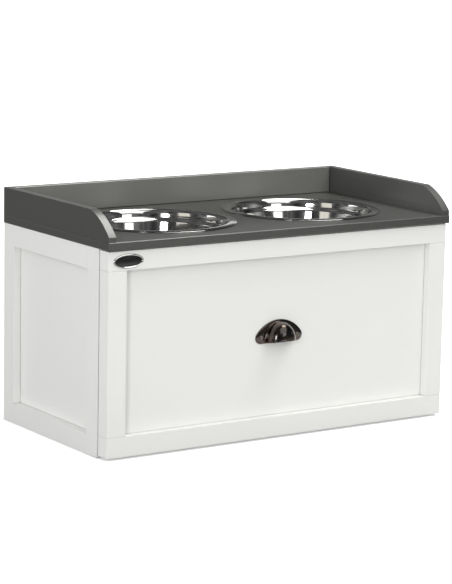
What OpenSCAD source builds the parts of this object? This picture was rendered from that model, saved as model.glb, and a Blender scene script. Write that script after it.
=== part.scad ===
// Elevated dog feeder with storage: a white framed cabinet holds one deep drawer,
// and a grey tray top carries two lift-out steel bowls inside a low gallery.
// Millimetres, +Z up, front towards -Y, origin at the bottom centre of the whole object.

/* [Top board] */
// Width of the grey top board
board_w = 600; // [580:1:700]
// Depth of the grey top board
board_d = 305; // [295:1:360]
// Thickness of the grey top board
board_t = 12; // [10:0.5:18]
// Chamfer that eases the edges of the grey boards
board_ease = 0.9; // [0.3:0.1:1.5]

/* [Gallery] */
// Thickness of the low boards round the tray
gallery_t = 12; // [10:0.5:16]
// Height of the low boards above the top board
gallery_h = 41; // [34:1:60]
// Step in from the top board's ends
gallery_inset_x = 0.5; // [0:0.1:3]
// Step back from the top board's front edge
gallery_inset_y = 1.5; // [0:0.1:6]
// Height of the upright nose at each front end
nose_h = 7; // [4:0.5:12]
// Length of the curved sweep behind the nose
sweep_l = 51; // [45:1:70]
// Radius of the curved sweep
sweep_r = 110; // [80:1:160]

/* [Cabinet] */
// Step in of the cabinet's sides from the top board's ends
cabinet_inset_x = 0.5; // [0:0.1:10]
// Height of the side panels, up to the top board
cabinet_h = 299; // [290:1:340]
// Thickness of the side, bottom and cross boards
carcass_t = 12; // [10:0.5:16]
// Thickness of the applied frame strips on the sides
side_strip_t = 12; // [6:0.5:16]
// Width of the upright strips on the sides
side_stile_w = 30; // [20:1:50]
// Height of the top strip on the sides
side_top_rail_h = 32; // [20:1:50]
// Height of the bottom strip on the sides
side_bottom_rail_h = 30; // [20:1:50]
// Thickness of the back panel
back_t = 5; // [3:0.5:9]
// Overhang of the top board behind the cabinet
back_overhang = 1; // [0:0.5:6]
// Space under the bottom panel
bottom_lift = 9; // [6:0.5:14]
// Height of the cross rails under the top board
stretcher_h = 48; // [44:1:56]
// Chamfer that eases the edges of the white boards
white_ease = 0.4; // [0.2:0.1:1]
// Chamfer that eases the edges of the applied strips on the sides
strip_ease = 0.2; // [0.1:0.1:0.8]

/* [Drawer front] */
// Step in of the drawer front from the cabinet's sides
front_inset_x = 2; // [1:0.5:10]
// Space between the floor and the drawer front
front_floor_gap = 3; // [1:0.5:6]
// Space between the drawer front and the top board
front_top_gap = 1.5; // [1:0.5:4]
// Step back of the drawer front from the top board's edge
front_inset = 5; // [2:0.5:10]
// Closing space between the drawer front and the cabinet
front_close_gap = 0.5; // [0.3:0.1:2]
// Thickness of the recessed panel of the drawer front
front_panel_t = 12; // [10:0.5:16]
// Depth of the recess in front of the panel
front_recess = 12; // [6:0.5:14]
// Width of the upright frame members of the drawer front
front_stile_w = 30; // [20:1:40]
// Height of the top rail of the drawer front
front_top_rail_h = 28; // [20:1:50]
// Height of the bottom rail of the drawer front
front_bottom_rail_h = 30; // [20:1:50]
// Width of the panel's margin in the frame's rebate
rebate_w = 8; // [5:0.5:9]

/* [Drawer box] */
// Thickness of the drawer's sides and back
drawer_t = 12; // [10:0.5:15]
// Space between the drawer's back and the back panel
drawer_back_gap = 20; // [12:1:40]
// Height of the drawer's sides
drawer_h = 178; // [120:1:185]
// Thickness of the drawer's bottom
drawer_bottom_t = 5; // [3:0.5:6]
// Height of the groove for the drawer's bottom above the side's lower edge
groove_lift = 10; // [8:0.5:16]
// Depth of the groove for the drawer's bottom
groove_depth = 5; // [3:0.5:6]

/* [Runners] */
// Space between the cabinet's side and the drawer's side
runner_space = 12.5; // [12.5:0.1:14]
// Thickness of the runners' sheet steel
steel_t = 1.2; // [1:0.1:1.4]
// Height of the roller track above the bottom panel
track_lift = 19; // [17:0.5:24]
// Radius of the rollers
roller_r = 10; // [8:0.5:11]
// Width of the rollers
roller_w = 5.6; // [4.5:0.1:6]
// Radius of the rivets that the rollers turn on
rivet_r = 2.5; // [2:0.1:3]
// Running clearance of a roller on its rivet
rivet_play = 0.1; // [0.05:0.01:0.1]
// Depth of the flange under the drawer's side
shoe_w = 12; // [10:0.5:14]
// Length of the drawer box that stays inside when the drawer is out
drawer_hold = 60; // [56:1:120]

/* [Bowls] */
// Radius of the bowl over its rolled rim
rim_r = 120.5; // [119:0.5:123]
// Width of the flat flange round the bowl
flange_w = 11; // [9:0.5:14]
// Height of the rolled rim
rim_h = 1.6; // [1.4:0.1:3]
// Thickness of the bowl's steel
bowl_t = 0.8; // [0.6:0.1:1.2]
// Depth of the bowl below its flange
bowl_depth = 63; // [50:1:66]
// Height of the upper wall, down to the step
upper_wall_h = 7.5; // [4:0.5:12]
// Width of the step between the upper and the lower wall
step_w = 4; // [2:0.5:8]
// Draft of the bowl's walls in degrees
bowl_draft = 12; // [6:0.5:15]
// Radius of the bowl's bottom corner
bowl_corner_r = 20; // [12:1:26]
// Distance between the centres of the bowls
bowl_pitch = 261; // [255:1:290]
// Clearance of a bowl in its opening in the top board
bowl_play = 0.5; // [0.5:0.5:3]

/* [Cup pull] */
// Distance between the cup pull's screws
pull_pitch = 64; // [60:1:76]
// Radius of the ears round the screws
pull_ear_r = 9; // [7:0.5:11]
// Height of the cup pull's plate above the screws
pull_rise = 25; // [22:0.5:30]
// Thickness of the cup pull's plate
pull_plate_t = 1.8; // [1.2:0.1:3]
// Outer radius of the cup pull over the bead of its dome
pull_dome_r = 25; // [22:0.5:28]
// Wall of the cup pull's dome
pull_wall = 1.2; // [1:0.1:2.4]
// Height of the bead round the lip of the dome
pull_bead_h = 0.4; // [0.3:0.1:0.7]
// Radius of the bead round the lip of the dome
pull_bead_r = 1.1; // [0.9:0.1:1.4]
// Radius of the fillet between the dome and the plate
pull_foot_r = 1.5; // [1:0.1:2]
// Lip of the dome below the screws' centres
pull_lip_drop = 5.5; // [3:0.5:8]
// Height of the cup pull's screws above the floor
pull_z = 150; // [120:1:180]

/* [Fasteners] */
// Radius of the cam discs
cam_r = 6; // [5:0.5:7]
// Depth of the cam discs
cam_h = 9; // [7:0.5:9]
// Distance from a panel's end to a cam disc's centre
cam_reach = 24; // [20:1:30]
// Radius of the wooden dowels
dowel_r = 3; // [2.5:0.1:3.5]
// Clearance of screws, cams and dowels in their holes
hole_play = 0.1; // [0.05:0.01:0.2]

/* [Hidden] */
$fn = 96;

// Space between pieces that move past each other or rest on each other
rest_gap = 0.3;
// Space under the back panel
back_floor_gap = 1;
// Overlap of a cutting shape past the face that it opens
past = 1;
// Space round the panel in the rebate of the drawer front's frame
rebate_play = 0.2;

// Finishes
grey = "dimgray";
white = "whitesmoke";
steel = "silver";
zinc = "lightsteelblue";
bronze = "#3d332b";
beech = "burlywood";
nylon = "ivory";

// Places from front to back
pull_reach = pull_dome_r - front_recess - front_inset;
total_d = board_d + pull_reach;
board_back_y = total_d / 2;
board_front_y = board_back_y - board_d;
front_face_y = board_front_y + front_inset;
front_panel_y = front_face_y + front_recess;
drawer_y = front_panel_y + front_panel_t;
cabinet_front_y = drawer_y + front_close_gap;
cabinet_back_y = board_back_y - back_overhang;
back_panel_y = cabinet_back_y - back_t;
bowl_y = (board_front_y + board_back_y) / 2;

// Length of the drawer box and of its runners, and travel of the drawer
drawer_l = back_panel_y - drawer_back_gap - drawer_y;
drawer_travel = drawer_l - drawer_hold;

// Places from side to side
cabinet_w = board_w - 2 * cabinet_inset_x;
front_w = cabinet_w - 2 * front_inset_x;
side_x = cabinet_w / 2;
side_board_x = side_x - side_strip_t;
bay_x = side_board_x - carcass_t;
drawer_x = bay_x - runner_space;
gallery_x = board_w / 2 - gallery_inset_x;

// Places from the floor up
board_top_z = cabinet_h + board_t;
gallery_top_z = board_top_z + gallery_h;
bottom_top_z = bottom_lift + carcass_t;
front_top_z = cabinet_h - front_top_gap;
opening_z0 = front_floor_gap + front_bottom_rail_h;
opening_z1 = front_top_z - front_top_rail_h;

// Runners: rear rollers run on the cabinet's track, and the drawer's flange runs on the front rollers
track_z = bottom_top_z + track_lift;
rear_roller_z = track_z + rest_gap + roller_r;
flange_play = 0.7;
flange_z = rear_roller_z + roller_r + flange_play;
front_roller_z = flange_z - rest_gap - roller_r;
channel_top_z = flange_z + steel_t + flange_play;
shoe_drop = 17.5;
shoe_z = flange_z + steel_t - shoe_drop;
drawer_z = shoe_z + steel_t;
track_lip_h = 1.5;
upper_flange_inset = 36;
runner_front_inset = 2;
runner_front_y = cabinet_front_y + runner_front_inset;
roller_inset = 12;
front_roller_y = runner_front_y + roller_inset;
rear_roller_y = drawer_y + drawer_l - roller_inset;
channel_web_x = bay_x - steel_t;
rivet_head_t = 0.9;
rivet_head_r = rivet_r + 1.6;
rivet_head_taper = 0.6;
roller_outer_x = channel_web_x - rivet_head_t - 2 * rest_gap;
roller_inner_x = roller_outer_x - roller_w;
web_x = drawer_x + steel_t;
channel_lip_x = web_x + 2 * rest_gap;
stop_h = 4;
stop_t = 2;
stop_fall = roller_r + rest_gap - stop_h;
stop_y = rear_roller_y - drawer_travel - sqrt(roller_r * roller_r - stop_fall * stop_fall) - rest_gap;

// Drawer box
drawer_back_y = drawer_y + drawer_l - drawer_t;
drawer_floor_z = drawer_z + groove_lift;
groove_end_play = 0.3;

// Bowl profile
bowl_seat_z = board_top_z + rest_gap;
bowl_top_z = rim_h;
lip_r = bowl_t + 0.2;
bend_r = 5.5;
step_r = 3;
step_slope = 30;
bowl_body_r = rim_r - flange_w;
opening_r = bowl_body_r + bowl_t + bowl_play;

// Cup pull: where the foot's fillet runs out on the dome, in degrees, and the bead's place over the lip
pull_foot_run = 15;
pull_bead_lift = 0.2;

// Fastener sizes
cam_bolt_r = 2.4;
cam_bolt_head_r = 2.9;
cam_bolt_head_h = 3.2;
cam_thread_r = 2.8;
cam_thread_l = 8;
cam_cap_t = 3;
cam_slot = [1.2 * cam_r, 1.2, 1.5];
dowel_in = 8;
dowel_out = 18;
dowel_end_play = 0.5;
screw_r = 1.8;
screw_head_r = 3.6;
screw_head_h = 2.2;
round_head_r = 3.5;
round_head_h = 1.6;
round_head_taper = 1;
round_slot_w = 0.9;
screw_inset = 40;

// Screw lengths, by the bite in the last board or by the wood left over the point
gallery_bite = 22;
drawer_back_bite = 26;
shoe_bite = 9;
point_cover = 2;
track_point_cover = 4;
gallery_screw_l = board_t + gallery_bite;
back_screw_l = back_t + carcass_t - point_cover;
drawer_back_screw_l = drawer_t + drawer_back_bite;
shoe_screw_l = steel_t + shoe_bite;
track_screw_l = steel_t + carcass_t - track_point_cover;
pull_screw_l = pull_plate_t + front_panel_t - point_cover;

// Returns the point at angle a on the circle of radius r round c
function polar(c, r, a) = [c[0] + r * cos(a), c[1] + r * sin(a)];

// Returns points along an arc
function arc(c, r, a0, a1, steps = 10) = [for (i = [0:steps]) polar(c, r, a0 + (a1 - a0) * i / steps)];

// Returns a list in reverse order
function reversed(list) = [for (i = [len(list) - 1:-1:0]) list[i]];

// Draws its children on the left, and their mirror image on the right
module both_sides() {
    children();
    mirror([1, 0, 0]) children();
}

// Rectangle with its four corners cut
module chamfered(w, h, ease) {
    polygon([[ease, 0], [w - ease, 0], [w, ease], [w, h - ease],
        [w - ease, h], [ease, h], [0, h - ease], [0, ease]]);
}

// Board between two corners, with all twelve edges eased
module board(low, high, ease) {
    size = high - low;
    translate(low) intersection() {
        linear_extrude(size[2]) chamfered(size[0], size[1], ease);
        translate([0, size[1], 0]) rotate([90, 0, 0])
            linear_extrude(size[1]) chamfered(size[0], size[2], ease);
        rotate([90, 0, 90]) linear_extrude(size[0]) chamfered(size[1], size[2], ease);
    }
}

// Board between two corners, with sharp edges
module plain_board(low, high) {
    translate(low) cube(high - low);
}

// Flat-headed screw whose head lies flush at z = 0 and whose point looks along -Z
module flush_screw(length, play = 0) {
    translate([0, 0, -screw_head_h])
        cylinder(h = screw_head_h, r1 = screw_r + play, r2 = screw_head_r + play);
    translate([0, 0, -length - play]) cylinder(h = length + play, r = screw_r + play);
}

// Low round-headed screw whose head stands on z = 0 and whose point looks along -Z
module round_screw(length) {
    difference() {
        union() {
            cylinder(h = round_head_h, r1 = round_head_r, r2 = round_head_r - round_head_taper);
            translate([0, 0, -length]) cylinder(h = length + round_head_h / 2, r = screw_r);
        }
        for (a = [0, 90])
            rotate([0, 0, a]) translate([-round_head_r / 2, -round_slot_w / 2, round_head_h / 2])
                cube([round_head_r, round_slot_w, round_head_h]);
    }
}

// Screw hole that starts in the face at z = 0
module screw_hole(length) {
    translate([0, 0, -length]) cylinder(h = length + past, r = screw_r + hole_play);
}

// Cam joint, drawn where two panels meet: +Z runs into the panel that holds the cam disc,
// and +X points out of the face in which the disc shows
module cam_bolt() {
    translate([0, 0, -cam_thread_l]) {
        cylinder(h = cam_thread_l, r = cam_thread_r);
        cylinder(h = cam_thread_l + cam_reach, r = cam_bolt_r);
    }
    translate([0, 0, cam_reach - cam_bolt_head_h / 2]) cylinder(h = cam_bolt_head_h, r = cam_bolt_head_r);
}

module cam_disc(panel_t) {
    slot_w = 2 * (cam_bolt_head_r + rest_gap);
    translate([panel_t / 2 - cam_h, 0, cam_reach]) rotate([0, 90, 0]) difference() {
        cylinder(h = cam_h, r = cam_r);
        translate([-slot_w / 2, -slot_w / 2, -past]) cube([cam_r + slot_w, slot_w, cam_h - cam_cap_t + past]);
        for (a = [45, 135]) rotate([0, 0, a])
            translate([-cam_slot[0] / 2, -cam_slot[1] / 2, cam_h - cam_slot[2]])
                cube([cam_slot[0], cam_slot[1], cam_slot[2] + past]);
    }
}

// Bores of a cam joint: the bolt's pilot hole, and the hole and the pocket in the panel with the disc
module cam_pilot() {
    translate([0, 0, -cam_thread_l - rest_gap])
        cylinder(h = cam_thread_l + rest_gap + past, r = cam_thread_r + hole_play);
}

module cam_bores(panel_t) {
    translate([0, 0, -past]) cylinder(h = past + cam_reach, r = cam_bolt_head_r + rest_gap);
    translate([panel_t / 2 - cam_h - rest_gap, 0, cam_reach]) rotate([0, 90, 0])
        cylinder(h = cam_h + rest_gap + past, r = cam_r + hole_play);
}

// Wooden dowel across the same joint plane, and its hole
module dowel() {
    translate([0, 0, -dowel_in]) cylinder(h = dowel_in + dowel_out, r = dowel_r);
}

module dowel_hole() {
    translate([0, 0, -dowel_in - dowel_end_play])
        cylinder(h = dowel_in + dowel_out + 2 * dowel_end_play, r = dowel_r + hole_play);
}

// Places of the left cabinet's joints, each with +Z into the panel that holds the cam disc
module side_top_place(y) {
    translate([-(side_board_x + bay_x) / 2, y, cabinet_h]) rotate([180, 0, 0]) children();
}

module side_bottom_place(y) {
    translate([-bay_x, y, bottom_lift + carcass_t / 2]) rotate([0, 90, 0]) children();
}

module stretcher_place(y, turn) {
    translate([-bay_x, y, cabinet_h - stretcher_h / 2]) rotate([turn, 0, 0]) rotate([0, 90, 0]) children();
}

joint_inset = 60;
dowel_step = 32;
front_joint_y = cabinet_front_y + joint_inset;
rear_joint_y = back_panel_y - joint_inset;
front_stretcher_y = cabinet_front_y + carcass_t / 2;
rear_stretcher_y = back_panel_y - carcass_t / 2;

module each_side_top_cam() {
    for (y = [front_joint_y, rear_joint_y]) side_top_place(y) children();
}

module each_side_top_dowel() {
    for (y = [front_joint_y + dowel_step, rear_joint_y - dowel_step]) side_top_place(y) children();
}

module each_bottom_cam() {
    for (y = [front_joint_y, rear_joint_y]) side_bottom_place(y) children();
}

module each_bottom_dowel() {
    for (y = [front_joint_y + dowel_step, rear_joint_y - dowel_step]) side_bottom_place(y) children();
}

module each_stretcher_cam() {
    stretcher_place(front_stretcher_y, 90) children();
    stretcher_place(rear_stretcher_y, -90) children();
}

// Places of the left drawer side's joints with the drawer front
drawer_joint_z = [drawer_z + drawer_h * 0.3, drawer_z + drawer_h * 0.78];

module drawer_front_place(z) {
    translate([-(drawer_x - drawer_t / 2), drawer_y, z]) rotate([-90, 0, 0]) children();
}

module each_drawer_cam() {
    for (z = drawer_joint_z) drawer_front_place(z) children();
}

module each_drawer_dowel() {
    drawer_front_place((drawer_joint_z[0] + drawer_joint_z[1]) / 2) children();
}

// Places of the screws, with +Z out of the face that the head lies in
module each_gallery_screw() {
    front_y = board_front_y + gallery_inset_y + sweep_l + screw_inset / 2;
    rear_y = board_back_y - screw_inset;
    for (y = [front_y, (front_y + rear_y) / 2, rear_y])
        both_sides() translate([-(gallery_x - gallery_t / 2), y, cabinet_h]) rotate([180, 0, 0]) children();
    for (x = [-board_w * 3 / 8, -board_w / 8, board_w / 8, board_w * 3 / 8])
        translate([x, board_back_y - gallery_t / 2, cabinet_h]) rotate([180, 0, 0]) children();
}

module each_back_screw() {
    edge_x = (side_board_x + bay_x) / 2;
    for (z = [screw_inset, cabinet_h / 2, cabinet_h - screw_inset])
        both_sides() translate([-edge_x, cabinet_back_y, z]) rotate([-90, 0, 0]) children();
    for (x = [-bay_x / 2, 0, bay_x / 2]) {
        translate([x, cabinet_back_y, bottom_lift + carcass_t / 2]) rotate([-90, 0, 0]) children();
        translate([x, cabinet_back_y, cabinet_h - stretcher_h / 4]) rotate([-90, 0, 0]) children();
    }
}

module each_drawer_back_screw() {
    for (z = drawer_joint_z)
        translate([-drawer_x, drawer_back_y + drawer_t / 2, z]) rotate([0, -90, 0]) children();
}

module each_track_screw() {
    z = (track_z + channel_top_z) / 2;
    for (y = [runner_front_y + screw_inset, runner_front_y + drawer_l - screw_inset])
        translate([-channel_web_x, y, z]) rotate([0, 90, 0]) children();
}

module each_shoe_screw() {
    for (y = [drawer_y + screw_inset, drawer_y + drawer_l - screw_inset])
        translate([-(drawer_x - shoe_w / 2), y, shoe_z]) rotate([180, 0, 0]) children();
}

module each_pull_screw() {
    for (x = [-pull_pitch / 2, pull_pitch / 2])
        translate([x, front_panel_y - pull_plate_t, pull_z]) rotate([90, 0, 0]) children();
}

// Grey tray top with an opening for each bowl
module top_board() {
    color(grey) difference() {
        board([-board_w / 2, board_front_y, cabinet_h], [board_w / 2, board_back_y, board_top_z], board_ease);
        for (side = [-1, 1])
            translate([side * bowl_pitch / 2, bowl_y, cabinet_h - past])
                cylinder(h = board_t + 2 * past, r = opening_r);
        each_gallery_screw() flush_screw(gallery_screw_l, hole_play);
        both_sides() {
            each_side_top_cam() cam_pilot();
            each_side_top_dowel() dowel_hole();
        }
    }
}

// Side view of a low side board: upright nose, curved sweep, then a level top
module gallery_outline() {
    nose_y = board_front_y + gallery_inset_y;
    nose_top = [nose_y, nose_h];
    sweep_top = [nose_y + sweep_l, gallery_h];
    chord = norm(sweep_top - nose_top);
    out = [sweep_top[1] - nose_top[1], nose_top[0] - sweep_top[0]] / chord;
    centre = (nose_top + sweep_top) / 2 + out * sqrt(sweep_r * sweep_r - chord * chord / 4);
    start = nose_top - centre;
    end = sweep_top - centre;
    sweep = arc(centre, sweep_r, atan2(start[1], start[0]), atan2(end[1], end[0]), 24);
    polygon(concat([[board_back_y, 0], [nose_y, 0]], sweep, [[board_back_y, gallery_h]]));
}

module side_gallery_board(side) {
    color(grey) difference() {
        translate([side < 0 ? -gallery_x : gallery_x - gallery_t, 0, board_top_z])
            rotate([90, 0, 90]) linear_extrude(gallery_t) gallery_outline();
        each_gallery_screw() flush_screw(gallery_screw_l, hole_play);
    }
}

module left_gallery_board() {
    side_gallery_board(-1);
}

module right_gallery_board() {
    side_gallery_board(1);
}

module back_gallery_board() {
    x = gallery_x - gallery_t;
    color(grey) difference() {
        board([-x, board_back_y - gallery_t, board_top_z], [x, board_back_y, gallery_top_z], board_ease);
        each_gallery_screw() flush_screw(gallery_screw_l, hole_play);
    }
}

module gallery_screws() {
    color(zinc) each_gallery_screw() flush_screw(gallery_screw_l);
}

// Path of the bowl's inner face from the rim to the centre, moved out by grow, in [radius, height]
function bowl_path(grow) = let (
    bend_c = [bowl_body_r, bowl_top_z - bend_r],
    wall_top = polar(bend_c, bend_r, 180 - bowl_draft),
    wall_end = wall_top - upper_wall_h * [tan(bowl_draft), 1],
    step_c = polar(wall_end, -step_r, -bowl_draft),
    shelf_top = polar(step_c, step_r, step_slope - 90),
    shelf_end = shelf_top - step_w * [1, tan(step_slope)],
    shoulder_c = polar(shelf_end, -step_r, 90 + step_slope),
    low_top = polar(shoulder_c, step_r, 180 - bowl_draft),
    floor_z = bowl_top_z - bowl_depth,
    low_end_z = floor_z + bowl_corner_r * (1 - sin(bowl_draft)),
    low_end = [low_top[0] - (low_top[1] - low_end_z) * tan(bowl_draft), low_end_z],
    corner_c = polar(low_end, -bowl_corner_r, -bowl_draft)
) concat(
    arc(bend_c, bend_r - grow, 90, 180 - bowl_draft, 6),
    arc(step_c, step_r + grow, -bowl_draft, step_slope - 90, 6),
    arc(shoulder_c, step_r - grow, 90 + step_slope, 180 - bowl_draft, 6),
    arc(corner_c, bowl_corner_r + grow, -bowl_draft, -90, 12),
    [[0, floor_z - grow]]
);

// Drawn steel bowl: rolled rim, flat flange, stepped wall and rounded bottom
module bowl() {
    lip_c = [rim_r - lip_r, bowl_top_z - lip_r];
    rim_out = concat([[rim_r, 0]], arc(lip_c, lip_r, 0, 90, 4));
    rim_in = concat(arc(lip_c, lip_r - bowl_t, 90, 0, 4), [[rim_r - bowl_t, 0]]);
    rotate_extrude($fn = 128)
        polygon(concat(rim_out, bowl_path(0), reversed(bowl_path(bowl_t)), rim_in));
}

module left_bowl() {
    color(steel) translate([-bowl_pitch / 2, bowl_y, bowl_seat_z]) bowl();
}

module right_bowl() {
    color(steel) translate([bowl_pitch / 2, bowl_y, bowl_seat_z]) bowl();
}

// Left side of the cabinet; the right side is its mirror image
module side_board() {
    color(white) difference() {
        board([-side_board_x, cabinet_front_y, 0], [-bay_x, back_panel_y, cabinet_h], white_ease);
        each_side_top_cam() cam_bores(carcass_t);
        each_side_top_dowel() dowel_hole();
        each_bottom_cam() cam_pilot();
        each_bottom_dowel() dowel_hole();
        each_stretcher_cam() cam_pilot();
        each_back_screw() flush_screw(back_screw_l, hole_play);
        each_track_screw() flush_screw(track_screw_l, hole_play);
    }
}

module side_strip(y0, y1, z0, z1) {
    color(white) board([-side_x, y0, z0], [-side_board_x, y1, z1], strip_ease);
}

module side_front_stile() {
    side_strip(cabinet_front_y, cabinet_front_y + side_stile_w, 0, cabinet_h);
}

module side_rear_stile() {
    side_strip(cabinet_back_y - side_stile_w, cabinet_back_y, 0, cabinet_h);
}

module side_top_rail() {
    side_strip(cabinet_front_y + side_stile_w, cabinet_back_y - side_stile_w,
        cabinet_h - side_top_rail_h, cabinet_h);
}

module side_bottom_rail() {
    side_strip(cabinet_front_y + side_stile_w, cabinet_back_y - side_stile_w, 0, side_bottom_rail_h);
}

module left_side_board() {
    side_board();
}

module right_side_board() {
    mirror([1, 0, 0]) side_board();
}

module left_side_front_stile() {
    side_front_stile();
}

module right_side_front_stile() {
    mirror([1, 0, 0]) side_front_stile();
}

module left_side_rear_stile() {
    side_rear_stile();
}

module right_side_rear_stile() {
    mirror([1, 0, 0]) side_rear_stile();
}

module left_side_top_rail() {
    side_top_rail();
}

module right_side_top_rail() {
    mirror([1, 0, 0]) side_top_rail();
}

module left_side_bottom_rail() {
    side_bottom_rail();
}

module right_side_bottom_rail() {
    mirror([1, 0, 0]) side_bottom_rail();
}

module bottom_panel() {
    color(white) difference() {
        board([-bay_x, cabinet_front_y, bottom_lift], [bay_x, back_panel_y, bottom_top_z], white_ease);
        both_sides() {
            each_bottom_cam() cam_bores(carcass_t);
            each_bottom_dowel() dowel_hole();
        }
        each_back_screw() flush_screw(back_screw_l, hole_play);
    }
}

// Back panel, let in between the rear stiles and screwed on from behind
module back_panel() {
    x = side_board_x - rest_gap;
    color(white) difference() {
        plain_board([-x, back_panel_y, back_floor_gap], [x, cabinet_back_y, cabinet_h]);
        each_back_screw() flush_screw(back_screw_l, hole_play);
    }
}

module back_panel_screws() {
    color(zinc) each_back_screw() flush_screw(back_screw_l);
}

// Cross rails that carry the top board at the front and at the back
module stretcher(y) {
    color(white) difference() {
        board([-bay_x, y - carcass_t / 2, cabinet_h - stretcher_h],
            [bay_x, y + carcass_t / 2, cabinet_h], white_ease);
        both_sides() each_stretcher_cam() cam_bores(carcass_t);
        each_back_screw() flush_screw(back_screw_l, hole_play);
    }
}

module front_stretcher() {
    stretcher(front_stretcher_y);
}

module rear_stretcher() {
    stretcher(rear_stretcher_y);
}

module cabinet_cam_bolts() {
    color(zinc) both_sides() {
        each_side_top_cam() cam_bolt();
        each_bottom_cam() cam_bolt();
        each_stretcher_cam() cam_bolt();
    }
}

module cabinet_cam_discs() {
    color(zinc) both_sides() {
        each_side_top_cam() cam_disc(carcass_t);
        each_bottom_cam() cam_disc(carcass_t);
        each_stretcher_cam() cam_disc(carcass_t);
    }
}

module cabinet_dowels() {
    color(beech) both_sides() {
        each_side_top_dowel() dowel();
        each_bottom_dowel() dowel();
    }
}

// Folded steel track on the cabinet's side: web, lower flange with a lip, shorter upper flange, and a stop
module cabinet_runner() {
    lip_x = channel_lip_x + steel_t / 2;
    lip_z = track_z + track_lip_h;
    section = [[-bay_x, track_z - steel_t], [-channel_lip_x, track_z - steel_t], [-channel_lip_x, lip_z],
        [-lip_x, lip_z], [-lip_x, track_z], [-channel_web_x, track_z],
        [-channel_web_x, channel_top_z + steel_t], [-bay_x, channel_top_z + steel_t]];
    color(white) difference() {
        union() {
            translate([0, runner_front_y + drawer_l, 0]) rotate([90, 0, 0])
                linear_extrude(drawer_l) polygon(section);
            plain_board([-channel_web_x, runner_front_y + upper_flange_inset, channel_top_z],
                [-channel_lip_x, runner_front_y + drawer_l, channel_top_z + steel_t]);
            plain_board([-channel_web_x, stop_y - stop_t, track_z],
                [-roller_inner_x, stop_y, track_z + stop_h]);
        }
        each_track_screw() flush_screw(track_screw_l, hole_play);
        translate([-bay_x - past, front_roller_y, front_roller_z]) rotate([0, 90, 0])
            cylinder(h = steel_t + 2 * past, r = rivet_r + hole_play);
    }
}

module left_cabinet_runner() {
    cabinet_runner();
}

module right_cabinet_runner() {
    mirror([1, 0, 0]) cabinet_runner();
}

module cabinet_runner_screws() {
    color(zinc) both_sides() each_track_screw() flush_screw(track_screw_l);
}

// Nylon roller with a crowned tread, drawn round the X axis from x = 0 to x = width
module roller() {
    crown = 0.3;
    bevel = 1.1;
    bore_r = rivet_r + rivet_play;
    rotate([90, 0, 90]) rotate_extrude()
        polygon([[bore_r, 0], [roller_r - crown, 0], [roller_r, bevel],
            [roller_r, roller_w - bevel], [roller_r - crown, roller_w], [bore_r, roller_w]]);
}

module left_cabinet_roller_place() {
    translate([-roller_outer_x, front_roller_y, front_roller_z]) children();
}

module left_drawer_roller_place() {
    translate([-roller_inner_x, rear_roller_y, rear_roller_z]) mirror([1, 0, 0]) children();
}

module left_cabinet_roller() {
    color(nylon) left_cabinet_roller_place() roller();
}

module right_cabinet_roller() {
    color(nylon) mirror([1, 0, 0]) left_cabinet_roller_place() roller();
}

module left_drawer_roller() {
    color(nylon) left_drawer_roller_place() roller();
}

module right_drawer_roller() {
    color(nylon) mirror([1, 0, 0]) left_drawer_roller_place() roller();
}

// Rivet along +Z: a shank through the sheet at z = 0, a collar on the sheet, and a head at the far end
module roller_rivet(collar, reach) {
    cylinder(h = reach + rivet_head_t / 2, r = rivet_r);
    translate([0, 0, steel_t]) cylinder(h = collar, r = rivet_head_r);
    translate([0, 0, reach])
        cylinder(h = rivet_head_t, r1 = rivet_head_r, r2 = rivet_head_r - rivet_head_taper);
}

// Rivet of a front roller: its collar stands on the track's web, its head inside
module cabinet_roller_rivet() {
    collar = channel_web_x - roller_outer_x - rest_gap;
    reach = bay_x - roller_inner_x + rest_gap;
    translate([-bay_x, front_roller_y, front_roller_z]) rotate([0, 90, 0]) roller_rivet(collar, reach);
}

// Rivet of a rear roller: its collar stands on the drawer runner's web, its head outside
module drawer_roller_rivet() {
    collar = roller_inner_x - web_x - rest_gap;
    reach = roller_outer_x - drawer_x + rest_gap;
    translate([-drawer_x, rear_roller_y, rear_roller_z]) rotate([0, -90, 0]) roller_rivet(collar, reach);
}

module cabinet_roller_rivets() {
    color(zinc) both_sides() cabinet_roller_rivet();
}

module drawer_roller_rivets() {
    color(zinc) both_sides() drawer_roller_rivet();
}

// Folded steel rail under the drawer's side: shoe, web, and a flange that runs on the front roller
module drawer_runner() {
    flange_x = roller_outer_x - rest_gap;
    rail = [[-(drawer_x - shoe_w), shoe_z], [-web_x, shoe_z], [-web_x, flange_z], [-flange_x, flange_z],
        [-flange_x, flange_z + steel_t], [-drawer_x, flange_z + steel_t], [-drawer_x, drawer_z],
        [-(drawer_x - shoe_w), drawer_z]];
    color(white) difference() {
        translate([0, drawer_y + drawer_l, 0]) rotate([90, 0, 0]) linear_extrude(drawer_l) polygon(rail);
        each_shoe_screw() screw_hole(steel_t + past);
        translate([-drawer_x + past, rear_roller_y, rear_roller_z]) rotate([0, -90, 0])
            cylinder(h = steel_t + 2 * past, r = rivet_r + hole_play);
    }
}

module left_drawer_runner() {
    drawer_runner();
}

module right_drawer_runner() {
    mirror([1, 0, 0]) drawer_runner();
}

module drawer_runner_screws() {
    color(zinc) both_sides() each_shoe_screw() round_screw(shoe_screw_l);
}

// Block that the panel fills, or, with some play, the rebate that it lies in
module front_panel_block(play = 0) {
    x = front_w / 2 - front_stile_w + rebate_w + play;
    plain_board([-x, front_panel_y, opening_z0 - rebate_w - play],
        [x, drawer_y + play, opening_z1 + rebate_w + play]);
}

// Recessed panel of the drawer front, bored and grooved for the drawer box
module drawer_front_panel() {
    color(white) difference() {
        front_panel_block();
        both_sides() {
            each_drawer_cam() cam_pilot();
            each_drawer_dowel() dowel_hole();
        }
        drawer_groove();
        each_pull_screw() screw_hole(pull_screw_l + hole_play);
    }
}

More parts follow.
